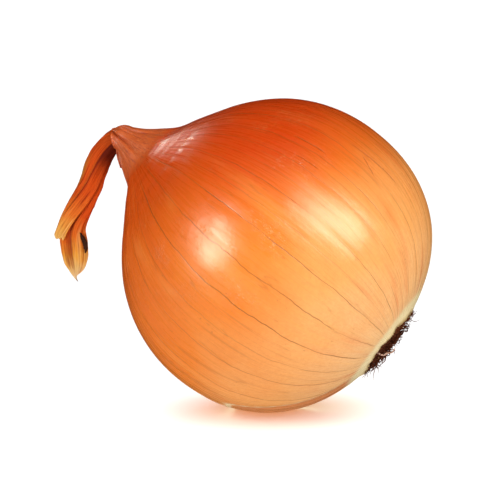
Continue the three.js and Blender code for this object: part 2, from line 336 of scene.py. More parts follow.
def makeBulb():
    outline = [Vector((0, -r, h)) * mm for r, h in bulbOutline()]
    gaps = bulb["veinGaps"]
    gaps = [gap * 360 / sum(gaps) for gap in gaps]
    edges = [sum(gaps[:i]) for i in range(len(gaps) + 1)]
    stopEditing()
    bpy.ops.mesh.primitive_plane_add(size=mm)
    piece = nameIt("bulb_skin")
    startEditing(piece)
    bpy.ops.mesh.merge(type="CENTER")
    bpy.ops.transform.translate(value=outline[0])
    for here, there in zip(outline, outline[1:]):
        extrude(there - here)
    bpy.ops.mesh.select_all(action="SELECT")
    for gap in gaps:  # one spin for each flute, from vein to vein
        bpy.ops.mesh.spin(steps=5, angle=-math.radians(gap), center=(0, 0, 0), axis=(0, 0, 1))
    bpy.ops.mesh.select_all(action="SELECT")
    bpy.ops.mesh.remove_doubles(threshold=0.02 * mm)
    bpy.ops.mesh.normals_make_consistent(inside=False)
    stopEditing()

    # the skin's own map: flutes across, and from the root end to the neck upwards
    skinMap = piece.data.uv_layers.new(name="skin")
    corners = piece.data.vertices
    flutes = {}
    for face in piece.data.polygons:
        middle = aroundAxis(face.center)
        for loop, index in zip(face.loop_indices, face.vertices):
            spot = corners[index].co
            radius = math.hypot(spot.x, spot.y)
            angle = aroundAxis(spot) if radius > 0.01 * mm else middle
            angle += 360 * round((middle - angle) / 360)
            flutes[index] = fluteAt(angle, edges)
            skinMap.data[loop].uv = (flutes[index] / len(gaps),
                                     0.5 + math.atan2(spot.z, radius) / math.pi)

    # shallow grooves along the veins, the torn patch, a valley round the collar, creases in its
    # paper and a ragged edge round the root plate
    chance = random.Random(4)
    strengths = bulb["veinStrengths"]
    phases = [chance.uniform(0, 6.28) for _ in range(6)]
    boldness, torn = [0.0] * len(corners), [0.0] * len(corners)
    tear = bulb["tear"]
    veins = piece.vertex_groups.new(name="veins")
    underSkin = piece.vertex_groups.new(name="under skin")
    folds = piece.vertex_groups.new(name="folds")
    rootEdge = piece.vertex_groups.new(name="root edge")
    valley = piece.vertex_groups.new(name="valley")
    for corner in corners:
        spot = corner.co / mm
        along = 0.5 + math.atan2(spot.z, math.hypot(spot.x, spot.y)) / math.pi
        flute = flutes[corner.index]
        boldness[corner.index] = strengths[round(flute) % len(gaps)]
        edge = tear["from"] + (tear["high"] - along) * tear["rise"]
        bare = (smoothStep(edge - flute, 0, 0.25) * smoothStep(edge - flute, tear["width"], 3)
                * smoothStep(along, tear["low"] - 0.03, tear["low"])
                * smoothStep(along, tear["high"] + 0.05, tear["high"]))
        torn[corner.index] = bare
        if bare > 0.01:
            underSkin.add([corner.index], bare, "REPLACE")
        if abs(flute - round(flute)) < 0.05:
            fade = smoothStep(along, 0.08, 0.2) * smoothStep(along, 0.9, 0.8)
            veins.add([corner.index], strengths[round(flute) % len(gaps)] * fade, "REPLACE")
        angle = math.radians(aroundAxis(corner.co))
        swing = spot.z - bulb["collar"] - 1.2 * math.cos(angle * 2 + phases[4])
        depth = math.exp(-(swing / 2.2) ** 2) * (0.75 + 0.25 * math.cos(angle * 5 + phases[5]))
        if depth > 0.01:
            valley.add([corner.index], depth, "REPLACE")
        depth = smoothStep(math.hypot(spot.x, spot.y), 12.5, 10.0) if spot.z < 0 else 0
        if depth > 0.01:
            rootEdge.add([corner.index], depth, "REPLACE")
        drift = 0.06 * (spot.z - bulb["collar"])
        wave = (math.cos(7 * angle + phases[0] + drift) + 0.8 * math.cos(13 * angle + phases[1])
                + 0.7 * math.cos(19 * angle + phases[2] - drift * 3))
        depth = smoothStep(swing, -1.5, 4) * smoothStep(wave, -0.4, 2.2)
        if depth > 0.01:
            folds.add([corner.index], depth, "REPLACE")
    for name, values in (("boldness", boldness), ("torn", torn)):
        piece.data.attributes.new(name, "FLOAT", "POINT").data.foreach_set("value", values)
    finishWith(piece, "DISPLACE", vertex_group="veins", mid_level=0,
               strength=-bulb["veinDepth"] * mm)
    finishWith(piece, "DISPLACE", vertex_group="under skin", mid_level=0,
               strength=-tear["depth"] * mm)
    finishWith(piece, "DISPLACE", vertex_group="valley", mid_level=0,
               strength=-bulb["valleyDepth"] * mm)
    finishWith(piece, "DISPLACE", vertex_group="folds", mid_level=0,
               strength=-bulb["foldDepth"] * mm)
    finishWith(piece, "DISPLACE", vertex_group="root edge", mid_level=0.32,
               texture=cloudsOf("ragged root edge", 3.0 * mm), texture_coords="LOCAL",
               strength=bulb["raggedness"] * mm)

    # the neck leans and spreads a little more from ring to ring
    pocket = piece.vertex_groups.new(name="pocket walls")
    startEditing(piece)
    neckStart = bulb["shoulderHeight"] * bulb["shoulderShare"]
    neckEnd = bulb["shoulderHeight"] + bulb["neckLength"]
    steps = 12
    for i in range(steps):
        above = neckStart + (neckEnd - neckStart) * i / steps
        pick(piece, lambda corner: corner.co.z > above * mm)
        bpy.ops.transform.translate(value=(bulb["neckLean"] / steps * mm, 0, 0))
        resize((1, bulb["neckSpread"] ** (1 / steps), 1), (0, 0, above * mm))

    # the mouth: the neck is cut across, its lip turns out and its inside goes down to a pocket
    middle = Vector(bulb["mouth"]) * mm
    angle = math.radians(bulb["mouthAngle"])
    facing = Vector((math.sin(angle), 0, math.cos(angle)))
    slope = Vector((math.cos(angle), 0, -math.sin(angle)))

    def nearMouth(corner):
        away = corner.co - middle
        reach = abs(away.dot(slope))
        return reach < bulb["mouthReach"] * mm and away.dot(facing) > -6 * mm and corner.co.z > 0

    pick(piece, nearMouth)
    bpy.ops.mesh.bisect(plane_co=middle, plane_no=facing, clear_outer=True)
    bpy.ops.mesh.remove_doubles(threshold=0.05 * mm)
    # picks the whole edge of the hole, also where it runs off the cut
    bpy.ops.mesh.select_non_manifold(extend=False, use_wire=False, use_multi_face=False,
                                     use_non_contiguous=False, use_verts=False)
    ring = pickedMiddle(piece)
    for i, (out, scale) in enumerate(bulb["lip"] + bulb["pocket"]):
        extrude(facing * out * mm)
        ring = ring + facing * out * mm
        resize((scale, scale, scale), ring)
        if i == len(bulb["lip"]):
            bpy.ops.object.vertex_group_assign()  # the rings below take the group over
    extrude(facing * -0.2 * mm)
    bpy.ops.mesh.merge(type="CENTER")
    pick(piece, lambda corner: abs((corner.co - middle).dot(facing) - 0.35 * mm) < 0.3 * mm
         and (corner.co - middle).length < 8 * mm)
    bpy.ops.transform.vertex_random(offset=0.18 * mm, seed=3)
    bpy.ops.mesh.select_all(action="SELECT")
    bpy.ops.mesh.normals_make_consistent(inside=False)
    stopEditing()
    inside = [float(any(member.group == pocket.index for member in corner.groups))
              for corner in piece.data.vertices]
    piece.data.attributes.new("pocket", "FLOAT", "POINT").data.foreach_set("value", inside)

    finishWith(piece, "SUBSURF", levels=1, render_levels=1)
    finishWith(piece, "DISPLACE", texture=cloudsOf("uneven flesh", 26 * mm), mid_level=0.5,
               strength=bulb["unevenness"] * mm, texture_coords="LOCAL")
    place(piece, layDown)
    startEditing(piece)
    pick(piece, lambda corner: corner.co.z < 0)
    resize((1, 1, 0), (0, 0, 0))  # the flat spot that it rests on
    stopEditing()
    for face in piece.data.polygons:
        face.use_smooth = True
    return piece


bulbSkin = makeBulb()
print("bulb made", len(bulbSkin.data.polygons), "faces")

mouthMiddle = layDown @ (Vector(bulb["mouth"]) * mm)


# Dry neck leaves: a ring of corners grown from station to station, in the upright plane of the
# bulb's axis. Stations are x and z from the mouth, half width, half depth and twist.

def growLeaf(name, leaf):
    sides = leaf["sides"]
    chance = random.Random(leaf["seed"])
    stopEditing()
    bpy.ops.mesh.primitive_circle_add(vertices=sides, radius=mm)
    piece = nameIt(name)
    startEditing(piece)
    centre, depth, reach = leaf["hollow"]
    for i in range(sides):
        around = 2 * math.pi * i / sides
        rib = sum(size * math.cos(count * around + phase) for count, size, phase in leaf["ribs"])
        away = (math.degrees(around) - centre) / reach
        rib -= depth * math.exp(-away * away)
        scale = 1 + rib + chance.uniform(-1, 1) * leaf["roughness"]
        pick(piece, lambda corner: corner.index == i)
        resize((scale, scale, scale), (0, 0, 0))
    if "arc" in leaf:
        first, last = (round(degrees / 360 * sides) for degrees in leaf["arc"])
        pick(piece, lambda corner: not first <= corner.index <= last)
        bpy.ops.mesh.delete(type="VERT")
        sides = last - first + 1
    bpy.ops.mesh.select_all(action="SELECT")

    places = [mouthMiddle + Vector((x, leaf["side"], z)) * mm for x, z, *_ in leaf["stations"]]
    headings = []
    for i in range(len(places)):
        step = places[min(i + 1, len(places) - 1)] - places[max(i - 1, 0)]
        headings.append(math.degrees(math.atan2(-step.x, -step.z)))
    width, depth, twist = leaf["stations"][0][2:]
    resize((width, depth, 1), (0, 0, 0))
    turn(headings[0], "Y", (0, 0, 0))
    bpy.ops.transform.translate(value=places[0])
    for i in range(1, len(places)):
        newWidth, newDepth, newTwist = leaf["stations"][i][2:]
        extrude(places[i] - places[i - 1])
        axes = Matrix.Rotation(math.radians(headings[i - 1]), 3, "Y")
        resize((1 / width, 1 / depth, 1), places[i], axes)  # round, so that only the ribs turn
        turn(newTwist - twist, "Z", places[i], axes)
        resize((newWidth, newDepth, 1), places[i], axes)
        turn(headings[i] - headings[i - 1], "Y", places[i])
        width, depth, twist = newWidth, newDepth, newTwist
    if "arc" not in leaf:
        extrude((0, 0, 0))
        bpy.ops.mesh.merge(type="CENTER")
        pick(piece, lambda corner: corner.index < sides)
        bpy.ops.mesh.edge_face_add()  # closes the end that is in the mouth
    stopEditing()

    leafMap = piece.data.uv_layers.new(name="leaf")
    rings = len(places)
    for face in piece.data.polygons:
        if len(face.vertices) == sides:
            continue
        columns = [index % sides for index in face.vertices if index < rings * sides]
        wraps = "arc" not in leaf and max(columns) == sides - 1 and min(columns) == 0
        for loop, index in zip(face.loop_indices, face.vertices):
            column = index % sides
            if index >= rings * sides:
                column = sum(columns) / len(columns)
            elif wraps and column == 0:
                column = sides
            leafMap.data[loop].uv = (column / sides, min(index // sides / (rings - 1), 1))
    return piece


innerLeaf = {
    "seed": 5, "sides": 40, "side": 0.5, "roughness": 0.03,
    "hollow": (238.0, 0.5, 26),
    "ribs": [(5.0, 0.06, 0.4), (8.0, 0.06, 2.1), (13.0, 0.045, 4.0)],
    "stations": [
        (2.4, 1.9, 1.6, 1.7, 0), (0.9, 1.2, 1.8, 1.9, -2), (-0.6, 0.4, 2.1, 2.0, -4),
        (-2.1, -0.6, 2.5, 2.1, -7), (-3.9, -2.4, 2.8, 2.1, -11), (-5.6, -5.0, 2.95, 2.1, -17),
        (-6.7, -8.1, 2.9, 2.0, -26), (-7.6, -11.6, 3.0, 2.0, -38), (-9.3, -15.1, 3.2, 2.0, -50),
        (-11.4, -18.8, 3.4, 1.9, -62), (-13.2, -22.3, 3.6, 1.8, -74), (-13.8, -25.3, 4.0, 1.8, -84),
        (-13.4, -28.0, 4.5, 1.7, -92), (-13.0, -31.0, 4.5, 1.6, -98),
        (-12.6, -33.6, 3.9, 1.4, -102), (-12.4, -35.3, 3.0, 1.1, -105),
        (-12.4, -36.6, 1.9, 0.8, -107),
        (-12.6, -37.4, 0.7, 0.5, -108), (-12.5, -38.1, 0.3, 0.3, -108),
        (-12.1, -38.7, 0.18, 0.18, -108)],
}

outerLeaf = {
    "seed": 8, "sides": 48, "side": 0.5, "roughness": 0.015, "arc": (55, 262),
    "hollow": (238.0, 0.0, 26),
    "ribs": [(5.0, 0.05, 0.4), (8.0, 0.06, 2.1), (13.0, 0.03, 4.0)],
    "stations": [
        (0.6, 1.9, 2.5, 2.5, 0), (-0.8, 1.0, 2.8, 2.6, -2), (-2.2, 0.0, 2.95, 2.6, -5),
        (-4.1, -2.0, 3.1, 2.5, -9), (-5.9, -4.8, 3.2, 2.4, -15), (-7.1, -8.0, 3.15, 2.3, -25),
        (-8.0, -11.5, 3.3, 2.3, -40), (-9.6, -15.0, 3.6, 2.3, -57), (-11.7, -18.7, 3.8, 2.2, -72),
        (-13.5, -22.1, 4.1, 2.1, -86), (-14.7, -25.0, 4.2, 2.0, -98),
        (-15.1, -26.8, 4.2, 1.9, -106)],
}


def makeInnerLeaf():
    piece = growLeaf("neck_leaf_long", innerLeaf)
    finishWith(piece, "SUBSURF", levels=2, render_levels=2)
    finishWith(piece, "DISPLACE", texture=cloudsOf("crumpled leaf", 3.2 * mm), mid_level=0.5,
               strength=0.5 * mm, texture_coords="LOCAL")
    return piece


def makeOuterLeaf():
    piece = growLeaf("neck_leaf_sheath", outerLeaf)
    sides = len(piece.data.vertices) // len(outerLeaf["stations"])
    last = len(piece.data.vertices) - sides
    # a torn end, whose corners hang down unevenly
    startEditing(piece)
    chance = random.Random(21)
    for column in range(sides):
        pick(piece, lambda corner: corner.index == last + column)
        bpy.ops.transform.translate(value=(0, 0, chance.uniform(-0.8, 0.9) * mm))
    stopEditing()
    finishWith(piece, "SOLIDIFY", thickness=0.22 * mm, offset=-1)
    finishWith(piece, "SUBSURF", levels=2, render_levels=2)
    finishWith(piece, "DISPLACE", texture=cloudsOf("crumpled sheath", 4 * mm), mid_level=0.5,
               strength=0.35 * mm, texture_coords="LOCAL")
    return piece


longLeaf = makeInnerLeaf()
sheath = makeOuterLeaf()
print("neck leaves made", len(longLeaf.data.polygons), len(sheath.data.polygons))

scrap = {"side": -1.0, "thickness": 0.3,
         "stations": [(-11.0, -25.0), (-10.3, -26.2), (-9.6, -27.6), (-9.3, -29.2), (-9.5, -30.9)],
         "widths": [0.3, 1.2, 1.6, 1.4, 0.3]}


def makeScrap():
    stopEditing()
    bpy.ops.mesh.primitive_plane_add(size=mm)
    piece = nameIt("leaf_scrap")
    startEditing(piece)
    bpy.ops.mesh.merge(type="CENTER")
    x, z = scrap["stations"][0]
    bpy.ops.transform.translate(value=mouthMiddle + Vector((x - scrap["widths"][0] / 2,
                                                            scrap["side"], z)) * mm)
    extrude(Vector((scrap["widths"][0] / 2, -0.15, 0)) * mm)
    extrude(Vector((scrap["widths"][0] / 2, 0.3, 0)) * mm)
    for i in range(1, len(scrap["stations"])):
        if i == 1:
            bpy.ops.mesh.select_all(action="SELECT")
        before = Vector((scrap["stations"][i - 1][0], 0, scrap["stations"][i - 1][1]))
        here = Vector((scrap["stations"][i][0], 0, scrap["stations"][i][1]))
        extrude((here - before) * mm)
        growth = scrap["widths"][i] / scrap["widths"][i - 1]
        resize((growth, 1, 1), mouthMiddle + Vector((here.x, scrap["side"], here.z)) * mm)
    stopEditing()
    finishWith(piece, "SOLIDIFY", thickness=scrap["thickness"] * mm, offset=0)
    finishWith(piece, "SUBSURF", levels=3, render_levels=3)
    finishWith(piece, "DISPLACE", texture=cloudsOf("curled scrap", 1.5 * mm), mid_level=0.5,
               strength=0.5 * mm, texture_coords="LOCAL")
    return piece


leafScrap = makeScrap()


# The root plate and the roots, made under the upright bulb and laid down with it

rootPlate = {"radius": 9.5, "rim": -0.3, "dome": 0.9, "thickness": 2.0, "roughness": 0.7,
             "lumps": 1.1}


def makeRootPlate():
    edge = rootEndAt(bulb["seatRadius"]) - rootPlate["rim"]
    stopEditing()
    bpy.ops.mesh.primitive_circle_add(vertices=56, radius=rootPlate["radius"] * mm,
                                      fill_type="NGON", location=(0, 0, 0))
    piece = nameIt("root_plate_cork")
    startEditing(piece)
    bpy.ops.transform.translate(value=(0, 0, (edge + rootPlate["thickness"]) * mm))
    extrude((0, 0, -rootPlate["thickness"] * mm))
    insets = 7
    for i in range(insets):
        bpy.ops.mesh.inset(thickness=rootPlate["radius"] / (insets + 1) * mm)
        outer, inner = 1 - i / (insets + 1), 1 - (i + 1) / (insets + 1)
        drop = rootPlate["dome"] * (outer ** 2 - inner ** 2)
        bpy.ops.transform.translate(value=(0, 0, -drop * mm))
    bpy.ops.mesh.select_all(action="SELECT")
    bpy.ops.mesh.normals_make_consistent(inside=False)
    stopEditing()
    finishWith(piece, "SUBSURF", levels=2, render_levels=2)
    finishWith(piece, "DISPLACE", texture=cloudsOf("lumps of cork", 4 * mm, 1), mid_level=0.5,
               strength=rootPlate["lumps"] * mm, texture_coords="LOCAL")
    finishWith(piece, "DISPLACE", texture=cloudsOf("cork", 1.2 * mm, 3), mid_level=0.5,
               strength=rootPlate["roughness"] * mm, texture_coords="LOCAL")
    place(piece, layDown)
    return piece


corkPlate = makeRootPlate()

rootRings = [
    {"count": 13, "from": 8.2, "turned": 0, "lift": 2, "size": 0.42, "strands": 7, "rise": 0.1},
    {"count": 10, "from": 5.6, "turned": 11, "lift": 5, "size": 0.65, "strands": 8, "rise": 0.2},
    {"count": 7, "from": 2.6, "turned": 30, "lift": 5, "size": 0.8, "strands": 8, "rise": 0.2},
]

# side to side and height, in millimetres, at even steps along each kind of root
strand = {
    "thickness": 0.24, "length": 6.4, "looseOnes": 46,
    "kinds": [
        [(0, -0.5), (0.3, 0.5), (-0.2, 0.9), (-0.7, 0.8),
         (-0.3, 0.9), (0.6, 1.1), (0.9, 0.9), (0.3, 0.5)],
        [(0, -0.5), (-0.4, 0.7), (-0.8, 1.0), (0.1, 1.3),
         (0.9, 1.0), (0.7, 0.6), (-0.2, 0.7), (-0.9, 1.1)],
        [(0, -0.5), (0.1, 0.9), (0.8, 1.4), (1.2, 1.0),
         (0.6, 0.5), (-0.4, 0.6), (-0.6, 1.2), (0.1, 1.6)],
        [(0, -0.5), (0.5, 0.4), (0.6, 0.6), (-0.3, 0.6),
         (-1.1, 0.9), (-1.2, 1.5), (-0.5, 1.9), (0.2, 1.8)],
        [(0, -0.5), (-0.2, 1.1), (-0.7, 1.9), (-0.6, 2.4),
         (0.2, 2.3), (0.9, 1.9), (1.4, 1.9), (1.3, 2.3)],
    ],
}


def makeStrand(path):
    # a root lying along X, thinner to its tip
    stopEditing()
    bpy.ops.curve.primitive_nurbs_path_add(radius=mm)
    piece = nameIt("strand")
    curve = piece.data
    curve.splines.clear()
    spline = curve.splines.new("NURBS")
    spline.points.add(len(path) - 1)
    for i, (sway, height) in enumerate(path):
        share = i / (len(path) - 1)
        spline.points[i].co = (strand["length"] * share * mm, sway * mm, height * mm, 1)
        spline.points[i].radius = 1 - 0.75 * share ** 1.5
    spline.use_endpoint_u = True
    spline.order_u = 3
    curve.resolution_u = 2
    curve.bevel_depth = strand["thickness"] * mm
    curve.bevel_resolution = 0
    curve.use_fill_caps = True
    pickOnly(piece)
    bpy.ops.object.convert(target="MESH")
    return bpy.context.object


def copyOf(piece):
    pickOnly(piece)
    bpy.ops.object.duplicate(linked=False)
    return bpy.context.object


def surfaceAt(radius):
    # height of the root plate or, beyond it, of the skin
    edge = rootEndAt(bulb["seatRadius"]) - rootPlate["rim"]
    if radius < rootPlate["radius"]:
        return edge - rootPlate["dome"] * (1 - (radius / rootPlate["radius"]) ** 2)
    return rootEndAt(radius) - 0.1


def onPlate(angle, radius, heading, lift, size, rise=0.0):
    # where a root grows: its X along the plate in the heading, its Z away from the plate
    height = surfaceAt(radius) - rise
    spot = Vector((radius * math.cos(angle), radius * math.sin(angle), height)) * mm
    along = Vector((math.cos(heading), math.sin(heading), 0))
    up = Vector((0, 0, -1))
    axes = Matrix((along, up.cross(along), up)).transposed().to_4x4()
    lifted = Matrix.Rotation(-math.radians(lift), 4, "Y")
    return layDown @ Matrix.Translation(spot) @ axes @ lifted @ Matrix.Diagonal((*size, 1))


def makeRoots():
    chance = random.Random(17)
    kinds = [makeStrand(path) for path in strand["kinds"]]
    made = []
    for ring in rootRings:
        for i in range(ring["count"]):
            angle = -math.radians(ring["turned"] + 360 * i / ring["count"])
            strands = []
            fullness = 0.75 + 0.25 * math.cos(angle - 0.5)  # longer on the underside
            for _ in range(ring["strands"]):
                root = copyOf(kinds[chance.randrange(len(kinds))])
                size = ring["size"] * chance.uniform(0.6, 1.1) * fullness
                thick = chance.uniform(0.35, 0.8)
                spread = chance.uniform(-1.3, 1.3)
                place(root, onPlate(angle + chance.uniform(-0.2, 0.2),
                                    max(ring["from"] + chance.uniform(-1.6, 1.0), 0.3),
                                    angle + spread, ring["lift"] * chance.uniform(-0.2, 1.3),
                                    (size, size * chance.choice((-1, 1)), thick), ring["rise"]))
                strands.append(root)
            pickOnly(*strands)
            bpy.ops.object.join()
            piece = nameIt(f"dry_root_{len(made) + 1:02d}")
            startEditing(piece)
            bpy.ops.mesh.select_all(action="SELECT")
            bpy.ops.mesh.normals_make_consistent(inside=False)
            stopEditing()
            made.append(piece)
    # loose ones lying round the plate's rim, a few that stand out, and a pale one
    overRim = [(chance.randrange(len(kinds)), chance.uniform(0, 360), chance.uniform(9.5, 10.9),
                chance.uniform(0, 6), (chance.uniform(0.25, 0.5), 0.5, 0.35))
               for _ in range(strand["looseOnes"])]
    overRim = [(kind, angle, radius, angle + chance.choice((90, -90)) + chance.uniform(-50, 50),
                lift, size) for kind, angle, radius, lift, size in overRim]
    for name, strays in (("stray_roots", strayRoots + overRim), ("pale_root", paleRoots)):
        strands = []
        for kind, angle, radius, heading, lift, size in strays:
            root = copyOf(kinds[kind])
            place(root, onPlate(math.radians(angle), radius, math.radians(heading), lift, size))
            strands.append(root)
        pickOnly(*strands)
        if len(strands) > 1:
            bpy.ops.object.join()
        made.append(nameIt(name))
    pickOnly(*kinds)
    bpy.ops.object.delete()
    return made


# kind, angle round the plate, distance out, heading, lift in degrees, and size
strayRoots = [
    (1, 50, 8.6, 2, 40, (0.78, 0.7, 0.6)), (3, 34, 8.8, -6, 10, (0.5, 0.6, 0.6)),
    (0, 20, 9.2, 8, 6, (0.45, 0.5, 0.5)), (2, 100, 7.0, 150, 40, (0.5, 0.6, 0.7)),
    (4, 75, 7.5, 100, 35, (0.4, 0.5, 0.5)), (1, 125, 8.0, 170, 12, (0.6, 0.6, 0.4)),
    (3, 215, 8.4, 230, 30, (0.6, 0.7, 0.6)), (0, 290, 8.6, 300, 38, (0.7, 0.7, 0.6)),
    (4, 330, 8.2, 310, 20, (0.6, 0.6, 0.6)), (2, 160, 8.8, 175, 5, (0.55, 0.4, 0.4)),
    (3, 66, 8.4, 24, 34, (0.72, 0.9, 0.6)), (2, 62, 7.6, 120, 24, (0.7, 0.8, 0.7)),
    (4, 84, 8.0, 168, 30, (0.62, 0.8, 0.7)), (1, 92, 8.6, 30, 22, (0.66, 0.9, 0.7)),
]
paleRoots = [(0, 76, 9.2, 170, 24, (0.9, 0.6, 1.5))]

dryRoots = makeRoots()
print("roots made", len(dryRoots))


# Materials

def coordinates(wire):
    # the piece's own coordinates in millimetres
    spot = wire.node("TexCoord", output=3)
    return wire.node("VectorMath", {0: spot, "Scale": 1000.0}, operation="SCALE")


def noise(wire, vector, scale, detail=2.0, roughness=0.5, distortion=0.0):
    return wire.node("TexNoise", {"Vector": vector, "Scale": scale, "Detail": detail,
                                  "Roughness": roughness, "Distortion": distortion})


skin = {
    "rootColour": (0.88, 0.56, 0.29), "lowColour": (0.87, 0.40, 0.135),
    "middleColour": (0.86, 0.235, 0.030), "neckColour": (0.78, 0.110, 0.006),
    # the top's colour is partly the skin's own sun-side red and partly painted shade
    "sunAndShadeColour": (0.60, 0.048, 0.002), "underColour": (0.80, 0.27, 0.09),
    "collarColour": (0.56, 0.125, 0.028), "rustColour": (0.70, 0.105, 0.008),
    "paleColour": (0.93, 0.38, 0.10), "creamColour": (0.94, 0.82, 0.50),
    # the pocket's colour is painted shade for the hollow inside the mouth
    "veinColour": (0.23, 0.07, 0.014), "pocketShadeColour": (0.20, 0.035, 0.012),
    "roughness": 0.27, "veinWidth": 0.10,
    "fluteAngle": 0.185,  # radians across one flute, about
    # where each split starts and ends, in flutes across and shares of the way to the neck
    "splits": [(24.32, 0.469, 23.93, 0.424), (24.4, 0.51, 24.7, 0.375), (22.4, 0.568, 22.4, 0.509),
               (23.3, 0.60, 23.25, 0.52), (7.2, 0.62, 7.5, 0.50), (31.2, 0.42, 30.9, 0.33)],
}


def skinMaterial():
    material, wire = newMaterial("onion skin")
    spot = coordinates(wire)
    mapped = wire.node("SeparateXYZ", {0: wire.node("UVMap", uv_map="skin")})
    across = mapped * float(len(bulb["veinGaps"]))
    along = mapped.other(1)
    height = wire.node("SeparateXYZ", {0: spot}, output=2)

    def fibrous(every, lengthwise, seed, detail=3.0):
        # noise drawn out along the flutes
        stretched = wire.node("CombineXYZ", {0: across * every, 1: along * lengthwise, 2: seed})
        return noise(wire, stretched, 1.0, detail, 0.6)

    # distance from the axis, to keep the veins one width
    centre = tuple(bulbCentre / mm)
    fromCentre = wire.node("VectorMath", {0: spot, 1: centre}, operation="SUBTRACT")
    crossed = wire.node("VectorMath", {0: fromCentre, 1: tuple(alongNeck)},
                        operation="CROSS_PRODUCT")
    radius = wire.node("VectorMath", {0: crossed}, output=1, operation="LENGTH")
    neckward = wire.node("VectorMath", {0: fromCentre, 1: tuple(alongNeck)}, output=1,
                         operation="DOT_PRODUCT")

    # colours from the root end to the neck, redder and darker towards the top: partly the
    # sun-facing side's own colour, partly painted shade
    patch = noise(wire, spot, 0.045, 3.0, 0.55)
    shade = along + (patch - 0.5) * 0.25
    colour = shade.colours((0.0, skin["rootColour"]), (0.13, skin["rootColour"]),
                           (0.32, skin["lowColour"]), (0.50, skin["middleColour"]),
                           (0.80, skin["neckColour"]), (1.0, skin["neckColour"]))
    topSunAndShade = height.ramp(46.0, 80.0) * along.ramp(0.33, 0.66) * (patch * 0.6 + 0.7)
    colour = topSunAndShade.mix(colour, skin["sunAndShadeColour"])

    # broad streaks, and fine fibres from end to end
    streak = fibrous(0.8, 3.0, 4.0)
    colour = streak.ramp(0.52, 0.75, (0.0, 0.45)).mix(colour, skin["rustColour"])
    pale = streak.ramp(0.48, 0.25, (0.0, 0.4)) * height.ramp(78.0, 55.0, (0.2, 1.0))
    colour = pale.mix(colour, skin["paleColour"])
    fibre = fibrous(7.0, 9.0, 0.0, 4.0)
    colour = fibre.ramp(0.35, 0.8, (0.0, 0.35)).mix(colour, (0.95, 0.50, 0.18), "SOFT_LIGHT")

    # the papery collar
    collar = (neckward + (patch - 0.5) * 5.0).ramp(42.5, 46.0)
    colour = (collar * 0.75).mix(colour, skin["collarColour"])
    crinkle = fibrous(4.0, 60.0, 2.0)
    colour = (collar * crinkle.ramp(0.45, 0.68)).mix(colour, (0.36, 0.045, 0.012))

    # veins
    wander = fibrous(0.9, 16.0, 0.0, 2.0)
    veined = across + (wander - 0.5) * 0.2
    nearest = veined.maths("ROUND", veined)
    distance = veined.maths("ABSOLUTE", veined - nearest) * radius * skin["fluteAngle"]
    boldness = wire.node("Attribute", attribute_name="boldness", output=2)
    fading = noise(wire, wire.node("CombineXYZ", {0: nearest * 3.0, 1: along * 6.0, 2: 9.0}),
                   1.0, 1.0)
    line = distance.ramp(skin["veinWidth"] * 0.3, skin["veinWidth"] * 1.8, (1.0, 0.0))
    strength = (boldness * 0.8 + 0.2) * fading.ramp(0.28, 0.6, (0.3, 1.0))
    strength = strength * along.ramp(0.08, 0.2) * along.ramp(0.93, 0.82)
    vein = line * strength
    colour = (vein * 0.9).mix(colour, skin["veinColour"])
    # faint finer veins between them
    fine = fibrous(3.2, 2.2, 7.0, 1.0)
    hair = fine.maths("ABSOLUTE", fine - 0.5).ramp(0.0, 0.012, (1.0, 0.0))
    hair = hair * along.ramp(0.1, 0.3) * along.ramp(0.8, 0.62)
    colour = (hair * 0.25).mix(colour, skin["veinColour"])

    # the bare patch of under skin, with the pale edge of the outer skin round it
    torn = wire.node("Attribute", attribute_name="torn", output=2)
    colour = (torn * 0.8).mix(colour, skin["underColour"])
    rim = (torn - 0.3).maths("ABSOLUTE", torn - 0.3).ramp(0.05, 0.28, (1.0, 0.0))
    colour = (rim * torn.ramp(0.0, 0.05)).mix(colour, (1.0, 0.76, 0.46))

    # splits in the outer skin, and fine scratches
    split = 0.0
    for flute, low, otherFlute, high in skin["splits"]:
        share = (along - low) / (high - low)
        aside = across - flute - share * (otherFlute - flute) + (wander - 0.5) * 0.15
        mark = aside.maths("ABSOLUTE", aside) * radius * skin["fluteAngle"]
        mark = mark.ramp(0.05, 0.28, (1.0, 0.0)) * share.ramp(0.0, 0.15) * share.ramp(1.0, 0.8)
        split = mark + split
    colour = (split * 0.8).mix(colour, (0.42, 0.075, 0.012))
    scratch = noise(wire, spot, 0.45, 3.0, 0.6, 1.2)
    scratch = (scratch - 0.5).maths("ABSOLUTE", scratch - 0.5).ramp(0.0, 0.014, (1.0, 0.0))
    scratch = scratch * noise(wire, spot, 0.09, 1.0).ramp(0.52, 0.66) * along.ramp(0.35, 0.6)
    colour = (scratch * 0.35).mix(colour, (0.95, 0.42, 0.13))

    # cream round the root plate, small spots, and painted shade in the pocket inside the mouth
    ragged = radius + (patch - 0.5) * 5.0 + (fibre - 0.5) * 3.0
    cream = ragged.ramp(14.6, 18.0, (0.95, 0.0)) * along.ramp(0.32, 0.22)
    colour = cream.mix(colour, skin["creamColour"])
    colour = (ragged.ramp(10.0, 12.4, (0.8, 0.0)) * along.ramp(0.3, 0.2)).mix(
        colour, (0.40, 0.27, 0.08))
    speck = noise(wire, spot, 0.9, 2.0, 0.6).ramp(0.70, 0.76)
    colour = (speck * 0.35).mix(colour, (0.30, 0.07, 0.02))
    # painted shade on the pocket walls inside the mouth
    pocket = wire.node("Attribute", attribute_name="pocket", output=2)
    colour = pocket.mix(colour, skin["pocketShadeColour"])

    grain = noise(wire, spot, 1.3, 3.0, 0.6)
    colour = grain.ramp(0.3, 0.7, (0.0, 0.16)).mix(colour, (0.55, 0.12, 0.02))

